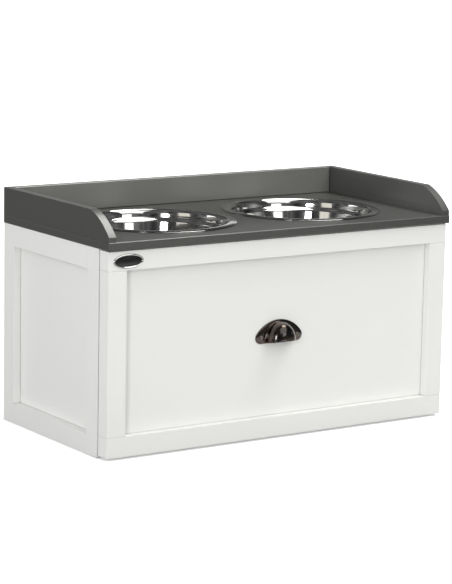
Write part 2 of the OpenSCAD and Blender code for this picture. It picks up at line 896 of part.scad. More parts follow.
// Upright dowels that join the rails to the stiles of the drawer front
module each_frame_dowel() {
    x = front_w / 2 - front_stile_w / 2;
    y = (front_face_y + front_panel_y) / 2;
    translate([-x, y, opening_z0]) children();
    translate([-x, y, opening_z1]) rotate([180, 0, 0]) children();
}

// Frame member of the drawer front, rebated at the back for the panel
module frame_member(x0, x1, z0, z1) {
    color(white) difference() {
        board([x0, front_face_y, z0], [x1, drawer_y, z1], white_ease);
        front_panel_block(rebate_play);
        both_sides() each_frame_dowel() dowel_hole();
    }
}

module front_frame_dowels() {
    color(beech) both_sides() each_frame_dowel() dowel();
}

module drawer_front_top_rail() {
    frame_member(-front_w / 2, front_w / 2, opening_z1, front_top_z);
}

module drawer_front_bottom_rail() {
    frame_member(-front_w / 2, front_w / 2, front_floor_gap, opening_z0);
}

module drawer_front_left_stile() {
    frame_member(-front_w / 2, -front_w / 2 + front_stile_w, opening_z0, opening_z1);
}

module drawer_front_right_stile() {
    frame_member(front_w / 2 - front_stile_w, front_w / 2, opening_z0, opening_z1);
}

// Space that the drawer's bottom needs in the sides and in the front panel
module drawer_groove() {
    x = drawer_x - drawer_t + groove_depth;
    plain_board([-x, drawer_y - groove_depth, drawer_floor_z],
        [x, drawer_back_y, drawer_floor_z + drawer_bottom_t]);
}

module drawer_side() {
    color(white) difference() {
        board([-drawer_x, drawer_y, drawer_z],
            [-drawer_x + drawer_t, drawer_y + drawer_l, drawer_z + drawer_h], white_ease);
        drawer_groove();
        each_drawer_cam() cam_bores(drawer_t);
        each_drawer_dowel() dowel_hole();
        each_drawer_back_screw() flush_screw(drawer_back_screw_l, hole_play);
        each_shoe_screw() screw_hole(shoe_screw_l + hole_play);
    }
}

module left_drawer_side() {
    drawer_side();
}

module right_drawer_side() {
    mirror([1, 0, 0]) drawer_side();
}

module drawer_back() {
    x = drawer_x - drawer_t;
    color(white) difference() {
        board([-x, drawer_back_y, drawer_z], [x, drawer_back_y + drawer_t, drawer_z + drawer_h], white_ease);
        both_sides() each_drawer_back_screw() flush_screw(drawer_back_screw_l, hole_play);
    }
}

module drawer_bottom() {
    x = drawer_x - drawer_t + groove_depth - groove_end_play;
    color(white) plain_board([-x, drawer_y - groove_depth + groove_end_play, drawer_floor_z],
        [x, drawer_back_y, drawer_floor_z + drawer_bottom_t]);
}

module drawer_cam_bolts() {
    color(zinc) both_sides() each_drawer_cam() cam_bolt();
}

module drawer_cam_discs() {
    color(zinc) both_sides() each_drawer_cam() cam_disc(drawer_t);
}

module drawer_dowels() {
    color(beech) both_sides() each_drawer_dowel() dowel();
}

module drawer_back_screws() {
    color(zinc) both_sides() each_drawer_back_screw() flush_screw(drawer_back_screw_l);
}

// Outline of the cup pull's plate: one arch that runs tangent into the two ears
module pull_outline() {
    half = pull_pitch / 2;
    arch_r = (half * half + pull_rise * pull_rise - pull_ear_r * pull_ear_r) / (2 * (pull_rise - pull_ear_r));
    arch_c = pull_rise - arch_r;
    far = [3 * half, -2 * arch_c];
    intersection() {
        translate([0, arch_c]) circle(r = arch_r, $fn = 192);
        polygon([[-half, 0], [-far[0], far[1]], [-far[0], 3 * arch_r], [far[0], 3 * arch_r], far, [half, 0]]);
    }
    translate([-half, -pull_ear_r]) square([pull_pitch, pull_ear_r]);
    for (x = [-half, half]) translate([x, 0]) circle(r = pull_ear_r, $fn = 64);
}

// Section of the fillet round the dome's foot, in [radius, height over the plate's back]
function pull_foot(shell_r) = let (
    reach = shell_r + pull_foot_r,
    lift = pull_plate_t + pull_foot_r,
    cove_c = [sqrt(reach * reach - lift * lift), lift],
    lean = atan2(cove_c[1], cove_c[0]),
    core_r = shell_r - pull_wall / 2
) concat(
    [[core_r, pull_plate_t / 2], polar([0, 0], core_r, lean)],
    arc(cove_c, pull_foot_r, 180 + lean + pull_foot_run, 270, 4),
    [[cove_c[0], pull_plate_t / 2]]
);

// Cup pull: an arched plate with a hollow quarter-sphere in front, beaded round its open underside
module cup_pull() {
    shell_r = pull_dome_r - pull_bead_h;
    hollow_r = shell_r - pull_wall;
    color(bronze) translate([0, front_panel_y, pull_z]) difference() {
        union() {
            rotate([90, 0, 0]) linear_extrude(pull_plate_t) pull_outline();
            intersection() {
                translate([0, 0, -pull_lip_drop]) {
                    sphere(r = shell_r);
                    rotate([90, 0, 0]) rotate_extrude() polygon(pull_foot(shell_r));
                    translate([0, 0, pull_bead_r + pull_bead_lift]) rotate_extrude()
                        translate([pull_dome_r - pull_bead_r, 0]) circle(r = pull_bead_r, $fn = 24);
                }
                plain_board([-2 * pull_dome_r, -2 * pull_dome_r, -pull_lip_drop],
                    [2 * pull_dome_r, 0, 2 * pull_dome_r]);
            }
        }
        translate([0, 0, -pull_lip_drop]) sphere(r = hollow_r);
        plain_board([-hollow_r, -pull_plate_t - past, -pull_ear_r - past], [hollow_r, past, -pull_lip_drop]);
        translate([0, -front_panel_y, -pull_z]) each_pull_screw() screw_hole(pull_plate_t + past);
    }
}

module cup_pull_screws() {
    color(bronze) each_pull_screw() round_screw(pull_screw_l);
}

top_board();
left_gallery_board();
right_gallery_board();
back_gallery_board();
gallery_screws();
left_bowl();
right_bowl();
left_side_board();
left_side_front_stile();
left_side_rear_stile();
left_side_top_rail();
left_side_bottom_rail();
right_side_board();
right_side_front_stile();
right_side_rear_stile();
right_side_top_rail();
right_side_bottom_rail();
bottom_panel();
back_panel();
back_panel_screws();
front_stretcher();
rear_stretcher();
cabinet_cam_bolts();
cabinet_cam_discs();
cabinet_dowels();
left_cabinet_runner();
right_cabinet_runner();
cabinet_runner_screws();
cabinet_roller_rivets();
left_cabinet_roller();
right_cabinet_roller();
drawer_front_panel();
drawer_front_top_rail();
drawer_front_bottom_rail();
drawer_front_left_stile();
drawer_front_right_stile();
front_frame_dowels();
cup_pull();
cup_pull_screws();
left_drawer_side();
right_drawer_side();
drawer_back();
drawer_bottom();
drawer_cam_bolts();
drawer_cam_discs();
drawer_dowels();
drawer_back_screws();
left_drawer_runner();
right_drawer_runner();
drawer_runner_screws();
drawer_roller_rivets();
left_drawer_roller();
right_drawer_roller();
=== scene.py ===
"""Looks of an elevated dog feeder with a storage drawer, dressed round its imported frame.

Sizes are metres and angles degrees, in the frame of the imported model: +Z up, and the drawer opens towards -Y.
"""

from __future__ import annotations

import logging
import math
from collections.abc import Sequence
from dataclasses import dataclass, field
from enum import Enum
from itertools import accumulate

import bmesh
import bpy
from bmesh.types import BMesh, BMVert
from bpy.types import Material, Node, NodeSocket, NodeTree, Object
from mathutils import Matrix, Vector

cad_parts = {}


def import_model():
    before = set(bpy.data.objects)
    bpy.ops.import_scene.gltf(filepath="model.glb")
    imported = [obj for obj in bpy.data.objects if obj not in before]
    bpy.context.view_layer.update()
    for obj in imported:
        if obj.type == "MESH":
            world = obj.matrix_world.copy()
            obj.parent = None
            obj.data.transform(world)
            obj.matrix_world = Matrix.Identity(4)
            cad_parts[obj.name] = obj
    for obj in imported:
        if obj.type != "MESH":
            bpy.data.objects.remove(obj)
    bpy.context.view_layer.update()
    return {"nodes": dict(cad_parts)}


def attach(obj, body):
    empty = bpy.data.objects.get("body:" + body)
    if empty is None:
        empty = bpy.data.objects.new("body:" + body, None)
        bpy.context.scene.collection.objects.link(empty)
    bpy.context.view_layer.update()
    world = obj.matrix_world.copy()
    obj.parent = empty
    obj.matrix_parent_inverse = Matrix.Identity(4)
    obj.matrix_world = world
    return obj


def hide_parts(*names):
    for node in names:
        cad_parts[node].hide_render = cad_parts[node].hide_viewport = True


LOG = logging.getLogger("feeder")

Colour = tuple[float, float, float]
Tint = tuple[float, float, float, float]
Point = tuple[float, float, float]
Pair = tuple[float, float]

CLEAR_WHITE: Tint = (1.0, 1.0, 1.0, 1.0)


def opaque(colour: Colour, tone: float = 1.0) -> Tint:
    """Returns a colour with full alpha, its channels multiplied by tone."""
    return colour[0] * tone, colour[1] * tone, colour[2] * tone, 1.0


class Web:
    """A node tree with short calls for placing and joining its nodes."""

    def __init__(self, tree: NodeTree) -> None:
        """Keeps the tree that the calls work on."""
        self.tree = tree

    def add(self, kind: str, inputs: dict | None = None, **settings: object) -> Node:
        """Places one node.

        Args:
            kind: Type name of the node.
            inputs: A value, or a socket to join, for each named or numbered input.
            settings: The node's own properties.

        Returns:
            The new node.
        """
        node = self.tree.nodes.new(kind)
        for name, value in settings.items():
            setattr(node, name, value)
        for key, value in (inputs or {}).items():
            if isinstance(value, NodeSocket):
                self.tree.links.new(value, node.inputs[key])
            else:
                node.inputs[key].default_value = value
        return node

    def join(self, value: NodeSocket, target: NodeSocket) -> None:
        """Joins an output to an input."""
        self.tree.links.new(value, target)

    def here(self) -> NodeSocket:
        """Places the object's own coordinates and returns them."""
        return self.add("ShaderNodeTexCoord").outputs["Object"]

    def math(self, operation: str, *values: object) -> NodeSocket:
        """Places a Math node and returns its value."""
        return self.add("ShaderNodeMath", dict(enumerate(values)), operation=operation).outputs[0]

    def product(self, first: object, second: object) -> NodeSocket:
        """Places a multiplication and returns its value."""
        return self.math("MULTIPLY", first, second)

    def dot(self, vector: object, axis: object) -> NodeSocket:
        """Places a dot product and returns its value."""
        inputs = {0: vector, 1: axis}
        return self.add("ShaderNodeVectorMath", inputs, operation="DOT_PRODUCT").outputs["Value"]

    def length(self, vector: object) -> NodeSocket:
        """Places a vector's length and returns its value."""
        return self.add("ShaderNodeVectorMath", {0: vector}, operation="LENGTH").outputs["Value"]

    def blend(self, share: object, low: object, high: object) -> NodeSocket:
        """Mixes two colours.

        Args:
            share: Share of the second colour.
            low: First colour.
            high: Second colour.

        Returns:
            The mixed colour.
        """
        inputs = {0: share, 6: low, 7: high}
        return self.add("ShaderNodeMix", inputs, data_type="RGBA").outputs[2]

    def remap(self, value: object, old: Pair, new: Pair = (0.0, 1.0)) -> NodeSocket:
        """Maps a value from one range to another, with its ends held.

        Args:
            value: The value to map.
            old: Range that it comes from.
            new: Range that it goes to.

        Returns:
            The mapped value.
        """
        inputs = {0: value, 1: old[0], 2: old[1], 3: new[0], 4: new[1]}
        return self.add("ShaderNodeMapRange", inputs).outputs[0]

    def noise(self, vector: object, scale: object, detail: float = 2.0, rough: float = 0.5) -> NodeSocket:
        """Places a noise and returns its value, which is 0.5 on average.

        Args:
            vector: Coordinates of the noise.
            scale: Cells per metre.
            detail: Octaves.
            rough: Share of each finer octave.

        Returns:
            The noise's value.
        """
        inputs = {"Vector": vector, "Scale": scale, "Detail": detail, "Roughness": rough}
        return self.add("ShaderNodeTexNoise", inputs).outputs["Fac"]


@dataclass(frozen=True)
class Port:
    """A socket of a shader node group."""

    name: str
    kind: str = "NodeSocketFloat"
    default: object = 0.0


class Effects:
    """Shader node groups that several finishes share, each built once.

    Cells are counted per metre, and heights are metres.
    """

    PEEL_CELLS = 620.0
    DRIFT_CELLS = 5.0
    SMEAR_CELLS = 14.0
    CHIP_CELLS = 90.0
    SPECK_CELLS = 1500.0
    VEIL_CELLS = 9.0
    PIT_CELLS = 2400.0
    PIT_HEIGHT = 0.000004
    SMUDGE_CELLS = 22.0
    RING_HEIGHT = 0.0000015
    MAIN_SHARE = 0.7
    REST_SHARE = 0.3
    BEVEL_SAMPLES = 6

    def __init__(self) -> None:
        """Builds every group."""
        self.film = self._film()
        self.arris = self._arris()
        self.dust = self._dust()
        self.mottle = self._mottle()
        self.turning = self._turning()

    @staticmethod
    def _group(
        name: str, ports_in: Sequence[Port], ports_out: Sequence[Port]
    ) -> tuple[Web, dict[str, NodeSocket], Node]:
        """Starts a group.

        Args:
            name: Name of the group.
            ports_in: Its inputs.
            ports_out: Its outputs.

        Returns:
            The group's web, its inputs' sockets by name, and its output node.
        """
        tree = bpy.data.node_groups.new(name, "ShaderNodeTree")
        for ports, side in ((ports_in, "INPUT"), (ports_out, "OUTPUT")):
            for port in ports:
                socket = tree.interface.new_socket(port.name, in_out=side, socket_type=port.kind)
                if side == "INPUT" and port.kind != "NodeSocketVector":
                    socket.default_value = port.default
        web = Web(tree)
        start = web.add("NodeGroupInput")
        end = web.add("NodeGroupOutput")
        return web, {s.name: s for s in start.outputs if s.name}, end

    def _film(self) -> NodeTree:
        """Builds sprayed paint over board: fine orange peel, faint fibres and slow drift of tone.

        Returns:
            The group.
        """
        fine = 0.00001
        web, given, end = self._group(
            "sprayed_film",
            [Port("Fibre", "NodeSocketVector"), Port("Peel", default=fine), Port("Telegraph", default=fine)],
            [Port("Height"), Port("Tone"), Port("Gloss")],
        )
        place = web.here()
        scaled = {0: place, 1: given["Fibre"]}
        stretched = web.add("ShaderNodeVectorMath", scaled, operation="MULTIPLY").outputs[0]
        peel = web.noise(place, self.PEEL_CELLS)
        fibres = web.noise(stretched, 1.0, 4.0, 0.6)
        drift = web.noise(place, self.DRIFT_CELLS, 3.0)
        smear = web.noise(place, self.SMEAR_CELLS, 4.0, 0.65)
        bumps, grain = web.product(peel, given["Peel"]), web.product(fibres, given["Telegraph"])
        web.join(web.math("ADD", bumps, grain), end.inputs["Height"])
        for main, rest, port in ((drift, fibres, "Tone"), (smear, peel, "Gloss")):
            main, rest = web.product(main, self.MAIN_SHARE), web.product(rest, self.REST_SHARE)
            web.join(web.math("ADD", main, rest), end.inputs[port])
        return web.tree

    def _arris(self) -> NodeTree:
        """Builds softened edges: a rounded normal, and a broken mask along the edges, used as rubbed wear on
        metal and as a painted edge highlight on painted boards.

        Returns:
            The group.
        """
        web, given, end = self._group(
            "softened_arris",
            [Port("Radius", default=0.0006), Port("Reach", default=0.0016)],
            [Port("Normal", "NodeSocketVector"), Port("Mask")],
        )
        soft, wide = (
            web.add("ShaderNodeBevel", {"Radius": given[size]}, samples=self.BEVEL_SAMPLES).outputs[0]
            for size in ("Radius", "Reach")
        )
        web.join(soft, end.inputs["Normal"])
        flat = web.add("ShaderNodeNewGeometry").outputs["Normal"]
        edge = web.remap(web.math("SUBTRACT", 1.0, web.dot(wide, flat)), (0.02, 0.22))
        chips = web.noise(web.here(), self.CHIP_CELLS, 4.0, 0.7)
        web.join(web.product(edge, web.remap(chips, (0.38, 0.62), (0.15, 1.0))), end.inputs["Mask"])
        return web.tree

    def _dust(self) -> NodeTree:
        """Builds fine dust that settles on what faces up.

        Returns:
            The group.
        """
        web, given, end = self._group("settled_dust", [Port("Amount", default=0.05)], [Port("Mask")])
        normal = web.add("ShaderNodeNewGeometry").outputs["Normal"]
        up = web.add("ShaderNodeSeparateXYZ", {0: normal}).outputs["Z"]
        place = web.here()
        specks = web.remap(web.noise(place, self.SPECK_CELLS), (0.55, 0.75), (0.0, 0.5))
        veil = web.remap(web.noise(place, self.VEIL_CELLS, 4.0), (0.3, 0.7), (0.2, 1.0))
        lying = web.product(web.math("ADD", specks, veil), web.remap(up, (0.5, 1.0)))
        web.join(web.product(lying, given["Amount"]), end.inputs["Mask"])
        return web.tree

    def _mottle(self) -> NodeTree:
        """Builds the cloudy tone of a patinated or plated metal.

        Returns:
            The group.
        """
        ports_out = [Port("Tone"), Port("Height")]
        web, given, end = self._group("cloudy_mottle", [Port("Cells", default=160.0)], ports_out)
        place = web.here()
        inputs = {"Vector": place, "Scale": given["Cells"], "Detail": 4.0}
        inputs |= {"Roughness": 0.6, "Distortion": 0.6}
        cloud = web.add("ShaderNodeTexNoise", inputs).outputs["Fac"]
        web.join(cloud, end.inputs["Tone"])
        web.join(web.product(web.noise(place, self.PIT_CELLS), self.PIT_HEIGHT), end.inputs["Height"])
        return web.tree

    def _turning(self) -> NodeTree:
        """Builds the fine rings that spinning and polishing leave round the object's own Z axis.

        Returns:
            The group.
        """
        ports_out = [Port("Height"), Port("Mask")]
        web, given, end = self._group("turning_rings", [Port("Rings", default=1800.0)], ports_out)
        place = web.here()
        parts = web.add("ShaderNodeSeparateXYZ", {0: place}).outputs
        flat = web.add("ShaderNodeCombineXYZ", {"X": parts["X"], "Y": parts["Y"]}).outputs[0]
        along = web.add("ShaderNodeCombineXYZ", {"X": web.length(flat), "Y": parts["Z"]}).outputs[0]
        ring = web.noise(along, given["Rings"], 3.0, 0.6)
        web.join(web.product(ring, self.RING_HEIGHT), end.inputs["Height"])
        smudge = web.noise(place, self.SMUDGE_CELLS, 4.0, 0.6)
        web.join(web.remap(smudge, (0.4, 0.7)), end.inputs["Mask"])
        return web.tree


class Grain(Enum):
    """Fibre scales per metre along X, Y and Z for each direction that a board's fibres run in."""

    ALONG_X = (14.0, 520.0, 520.0)
    ALONG_Y = (520.0, 14.0, 520.0)
    ALONG_Z = (520.0, 520.0, 14.0)


class Finish:
    """Base of the finishes: starts a material and places the shared effects in it."""

    name: str

    def start(self) -> tuple[Material, Web, Node]:
        """Starts the material.

        Returns:
            The material, its web and its Principled BSDF.
        """
        material = bpy.data.materials.new(self.name)
        material.use_nodes = True
        web = Web(material.node_tree)
        return material, web, material.node_tree.nodes["Principled BSDF"]

    @staticmethod
    def effect(web: Web, group: NodeTree, **inputs: object) -> Node:
        """Places a shared effect with this material's own values.

        Args:
            web: The material's web.
            group: The effect.
            inputs: The effect's values by input name.

        Returns:
            The group node.
        """
        return web.add("ShaderNodeGroup", inputs, node_tree=group)

    @staticmethod
    def relief(web: Web, shader: Node, height: object, normal: object | None = None) -> None:
        """Joins a height in metres, over an optional soft normal, to the shader.

        Args:
            web: The material's web.
            shader: The Principled BSDF.
            height: Height of the relief.
            normal: Normal that the relief is added to.
        """
        inputs = {"Height": height, "Strength": 1.0, "Distance": 1.0}
        if normal is not None:
            inputs["Normal"] = normal
        web.join(web.add("ShaderNodeBump", inputs).outputs[0], shader.inputs["Normal"])


TONE_SPAN: Pair = (0.35, 0.65)
CLOUD_SPAN: Pair = (0.3, 0.7)
DUST: Colour = (0.62, 0.61, 0.59)
PAINT_SHADE: Colour = (0.01, 0.01, 0.01)
STEEL_SHADE: Colour = (0.03, 0.03, 0.03)


@dataclass(frozen=True)
class PaintedBoard(Finish):
    """Satin paint, sprayed over board, with a painted highlight on its softened edges and painted shade in its
    creases and joints.
    """

    name: str
    colour: Colour
    edge_highlight_colour: Colour
    grain: Grain
    roughness: float = 0.38
    spread: float = 0.06
    level: float = 0.5
    peel: float = 0.000004
    telegraph: float = 0.000006
    edge_share: float = 0.35
    dust: float = 0.03
    drift: float = 0.045
    # Reach of the painted shade in creases, inner corners and joints.
    painted_shade_reach: float = 0.0022
    edge_sizes: Pair = (0.0007, 0.0014)

    def build(self, effects: Effects) -> Material:
        """Builds the material.

        Args:
            effects: The shared effects.

        Returns:
            The material.
        """
        material, web, shader = self.start()
        fibre = self.grain.value
        film = self.effect(web, effects.film, Fibre=fibre, Peel=self.peel, Telegraph=self.telegraph)
        arris = self.effect(web, effects.arris, Radius=self.edge_sizes[0], Reach=self.edge_sizes[1])
        dust = self.effect(web, effects.dust, Amount=self.dust)
        dark, light = opaque(self.colour, 1.0 - self.drift), opaque(self.colour, 1.0 + self.drift)
        toned = web.blend(web.remap(film.outputs["Tone"], TONE_SPAN), dark, light)
        # Painted highlight: the softened edges are lightened towards the edge colour, broken up by chip noise.
        worn = web.product(arris.outputs["Mask"], self.edge_share)
        edge_highlighted = web.blend(worn, toned, opaque(self.edge_highlight_colour))
        dusty = web.blend(dust.outputs["Mask"], edge_highlighted, opaque(DUST))
        # Painted shade: ambient occlusion darkens creases, inner corners and joints towards PAINT_SHADE.
        sky = web.add("ShaderNodeAmbientOcclusion", {"Distance": self.painted_shade_reach}, samples=6).outputs["AO"]
        painted_shade_share = web.remap(sky, (0.3, 0.8), (0.6, 0.0))
        web.join(web.blend(painted_shade_share, dusty, opaque(PAINT_SHADE)), shader.inputs["Base Color"])
        gloss = (self.roughness - self.spread, self.roughness + self.spread)
        web.join(web.remap(film.outputs["Gloss"], TONE_SPAN, gloss), shader.inputs["Roughness"])
        shader.inputs["Specular IOR Level"].default_value = self.level
        self.relief(web, shader, film.outputs["Height"], arris.outputs["Normal"])
        return material


@dataclass(frozen=True)
class PolishedSteel(Finish):
    """Mirror-polished, spun sheet steel, with painted shade where it comes close to other surfaces, such as
    round the rim on the board.
    """

    name: str = "polished_sheet_steel"
    colour: Colour = (0.80, 0.795, 0.785)
    roughness: float = 0.055
    smudged: float = 0.14
    # Reach of the painted shade where the steel comes close to other surfaces.
    painted_shade_reach: float = 0.005
    rings: float = 900.0
    cells: float = 40.0
    stain: float = 0.95

    def build(self, effects: Effects) -> Material:
        """Builds the material.

        Args:
            effects: The shared effects.

        Returns:
            The material.
        """
        material, web, shader = self.start()
        turning = self.effect(web, effects.turning, Rings=self.rings)
        mottle = self.effect(web, effects.mottle, Cells=self.cells)
        cloud = web.remap(mottle.outputs["Tone"], CLOUD_SPAN)
        toned = web.blend(cloud, opaque(self.colour, self.stain), opaque(self.colour))
        # Painted shade: ambient occlusion darkens the steel near other surfaces, a dark outline round the rim
        # where it sits on the board.
        sky = web.add("ShaderNodeAmbientOcclusion", {"Distance": self.painted_shade_reach}, samples=8).outputs["AO"]
        painted_shade_share = web.remap(sky, (0.5, 0.92), (1.0, 0.0))
        web.join(web.blend(painted_shade_share, toned, opaque(STEEL_SHADE)), shader.inputs["Base Color"])
        shader.inputs["Metallic"].default_value = 1.0
        rough = web.remap(turning.outputs["Mask"], (0.0, 1.0), (self.roughness, self.smudged))
        web.join(rough, shader.inputs["Roughness"])
        self.relief(web, shader, turning.outputs["Height"])
        return material


@dataclass(frozen=True)
class Patina(Finish):
    """Dark patinated or plated metal, rubbed lighter on its edges."""

    name: str
    colour: Colour
    warm: Colour
    rubbed: Colour
    roughness: float = 0.28
    spread: float = 0.08
    cells: float = 90.0
    edge_share: float = 0.5
    cloud: Pair = (0.4, 0.66)
    lacquer: float = 0.0
    lacquer_roughness: float = 0.12
    lacquer_ior: float = 1.6
    edge_sizes: Pair = (0.0003, 0.0009)

    def build(self, effects: Effects) -> Material:
        """Builds the material.

        Args:
            effects: The shared effects.

        Returns:
            The material.
        """
        material, web, shader = self.start()
        mottle = self.effect(web, effects.mottle, Cells=self.cells)
        arris = self.effect(web, effects.arris, Radius=self.edge_sizes[0], Reach=self.edge_sizes[1])
        cloud = web.remap(mottle.outputs["Tone"], self.cloud)
        toned = web.blend(cloud, opaque(self.colour), opaque(self.warm))
        worn = web.product(arris.outputs["Mask"], self.edge_share)
        web.join(web.blend(worn, toned, opaque(self.rubbed)), shader.inputs["Base Color"])
        shader.inputs["Metallic"].default_value = 1.0
        gloss = (self.roughness - self.spread, self.roughness + self.spread)
        web.join(web.remap(mottle.outputs["Tone"], CLOUD_SPAN, gloss), shader.inputs["Roughness"])
        shader.inputs["Coat Weight"].default_value = self.lacquer
        shader.inputs["Coat Roughness"].default_value = self.lacquer_roughness
        shader.inputs["Coat IOR"].default_value = self.lacquer_ior
        self.relief(web, shader, mottle.outputs["Height"], arris.outputs["Normal"])
        return material


@dataclass(frozen=True)
class Enamel(Finish):
    """Smooth glossy coat on sheet steel, or moulded nylon."""

    name: str
    colour: Colour
    worn: Colour
    roughness: float = 0.3
    spread: float = 0.05
    subsurface: float = 0.0
    scatter: float = 0.002
    stain: float = 0.95
    cells: float = 240.0
    peel: float = 0.000005
    edge_share: float = 0.3
    edge_sizes: Pair = (0.0003, 0.0008)

    def build(self, effects: Effects) -> Material:
        """Builds the material.

        Args:
            effects: The shared effects.

        Returns:
            The material.
        """
        material, web, shader = self.start()
        even = (self.cells, self.cells, self.cells)
        film = self.effect(web, effects.film, Fibre=even, Peel=self.peel, Telegraph=0.0)
        arris = self.effect(web, effects.arris, Radius=self.edge_sizes[0], Reach=self.edge_sizes[1])
        toned = web.blend(film.outputs["Tone"], opaque(self.colour, self.stain), opaque(self.colour))
        worn = web.product(arris.outputs["Mask"], self.edge_share)
        web.join(web.blend(worn, toned, opaque(self.worn)), shader.inputs["Base Color"])
        gloss = (self.roughness - self.spread, self.roughness + self.spread)
        web.join(web.remap(film.outputs["Gloss"], CLOUD_SPAN, gloss), shader.inputs["Roughness"])
        shader.inputs["Subsurface Weight"].default_value = self.subsurface
        shader.inputs["Subsurface Scale"].default_value = self.scatter
        self.relief(web, shader, film.outputs["Height"], arris.outputs["Normal"])
        return material


@dataclass(frozen=True)
class BareWood(Finish):
    """Bare fine-grained hardwood."""

    name: str
    light: Colour
    dark: Colour
    grain: Grain
    roughness: float = 0.62
    pores: float = 0.00003

    def build(self, effects: Effects) -> Material:
        """Builds the material.

        Args:
            effects: The shared effects.

        Returns:
            The material.
        """
        material, web, shader = self.start()
        film = self.effect(web, effects.film, Fibre=self.grain.value, Peel=0.0, Telegraph=self.pores)
        fibre = web.remap(film.outputs["Tone"], TONE_SPAN)
        web.join(web.blend(fibre, opaque(self.dark), opaque(self.light)), shader.inputs["Base Color"])
        shader.inputs["Roughness"].default_value = self.roughness
        self.relief(web, shader, film.outputs["Height"])
        return material


GREY: Colour = (0.056, 0.057, 0.053)
# The same paint as GREY, painted lighter for the gallery's back board: painted sheen and reflected light.
SHEEN_LIT_GREY: Colour = (0.155, 0.156, 0.147)
# Painted highlight on the grey boards' softened edges.
GREY_EDGE_HIGHLIGHT: Colour = (0.26, 0.26, 0.256)
WHITE: Colour = (0.86, 0.862, 0.85)
# Painted highlight on the white boards' softened edges.
WHITE_EDGE_HIGHLIGHT: Colour = (0.90, 0.90, 0.89)
BEECH_LIGHT: Colour = (0.70, 0.54, 0.36)
BEECH_DARK: Colour = (0.56, 0.40, 0.24)


class Wardrobe:
    """All finishes by short name, each built when it is first asked for."""

    def __init__(self) -> None:
        """Lists the finishes."""
        self.effects = Effects()
        self.built: dict[str, Material] = {}
        self.finishes: dict[str, Finish] = {
            "steel": PolishedSteel(),
            "bronze": Patina(
                "oil_rubbed_bronze", (0.022, 0.020, 0.019), (0.10, 0.048, 0.024), (0.50, 0.39, 0.30),
                roughness=0.22, spread=0.03, cells=48.0, edge_share=0.18, cloud=(0.42, 0.74), lacquer=0.9),
            "worn_bronze": Patina(
                "worn_screw_bronze", (0.16, 0.145, 0.13), (0.24, 0.19, 0.15), (0.55, 0.48, 0.42),
                roughness=0.3, lacquer=0.5),
            "zinc": Patina(
                "bright_zinc_plate", (0.58, 0.60, 0.64), (0.66, 0.66, 0.62), (0.72, 0.72, 0.72),
                roughness=0.32, cells=220.0),
            "enamel": Enamel("white_stove_enamel", (0.82, 0.82, 0.81), (0.70, 0.70, 0.69)),
            "nylon": Enamel(
                "natural_nylon", (0.80, 0.79, 0.74), (0.84, 0.83, 0.79), roughness=0.38, subsurface=0.15),
            "plate_rim": Patina(
                "bright_plate_rim", (0.74, 0.74, 0.73), (0.78, 0.77, 0.75), (0.82, 0.82, 0.81),
                roughness=0.1, spread=0.03),
            "plate_field": Enamel(
                "black_plate_field", (0.012, 0.012, 0.013), (0.05, 0.05, 0.05), roughness=0.14),
        }
        for grain in Grain:
            tag = grain.name[-1].lower()
            # The sheen-lit grey is the same paint as the grey, painted lighter as painted sheen.
            for title, colour in (("grey", GREY), ("pale_grey", SHEEN_LIT_GREY)):
                self.finishes[f"{title}_{tag}"] = PaintedBoard(
                    f"{title}_satin_board_{tag}", colour, GREY_EDGE_HIGHLIGHT, grain, roughness=0.33, spread=0.015,
                    level=1.0, telegraph=0.000005, edge_share=0.5, dust=0.02)
            self.finishes[f"white_{tag}"] = PaintedBoard(
                f"white_satin_board_{tag}", WHITE, WHITE_EDGE_HIGHLIGHT, grain, roughness=0.42, level=0.4,
                peel=0.000002, telegraph=0.000002, edge_share=0.2, dust=0.0, drift=0.01)
            self.finishes[f"beech_{tag}"] = BareWood(f"bare_beech_{tag}", BEECH_LIGHT, BEECH_DARK, grain)

    def get(self, key: str) -> Material:
        """Returns the material of a finish by its short name."""
        if key not in self.built:
            self.built[key] = self.finishes[key].build(self.effects)
        return self.built[key]

    def dress(self, piece: Object, key: str) -> None:
        """Gives a piece one finish all over."""
        piece.data.materials.clear()
        piece.data.materials.append(self.get(key))


def new_piece(name: str, mesh: BMesh, smooth_below: float) -> Object:
    """Makes an object of a finished mesh.

    Args:
        name: Name of the piece.
        mesh: The mesh, which is freed.
        smooth_below: Angle in degrees up to which an edge is shaded smooth.

    Returns:
        The object, linked into the scene.
    """
    bmesh.ops.remove_doubles(mesh, verts=mesh.verts, dist=1e-7)
    bmesh.ops.recalc_face_normals(mesh, faces=mesh.faces)
    data = bpy.data.meshes.new(name)
    mesh.to_mesh(data)
    mesh.free()
    data.shade_smooth()
    data.set_sharp_from_angle(angle=math.radians(smooth_below))
    piece = bpy.data.objects.new(name, data)
    bpy.context.scene.collection.objects.link(piece)
    return piece


def weave_rows(
    mesh: BMesh, rows: Sequence[Sequence[Point]], wrap_rows: bool, wrap_columns: bool
) -> list[list[BMVert]]:
    """Covers a grid of points with quads.

    Args:
        mesh: Mesh that takes the faces.
        rows: Rows of points, all of one length.
        wrap_rows: Joins the last row to the first.
        wrap_columns: Joins each row's last point to its first.

    Returns:
        The rows of vertices.
    """
    grid = [[mesh.verts.new(p) for p in row] for row in rows]
    count, width = len(grid), len(grid[0])
    for i in range(count if wrap_rows else count - 1):
        for j in range(width if wrap_columns else width - 1):
            a, b = grid[i], grid[(i + 1) % count]
            k = (j + 1) % width
            mesh.faces.new((a[j], a[k], b[k], b[j]))
    return grid


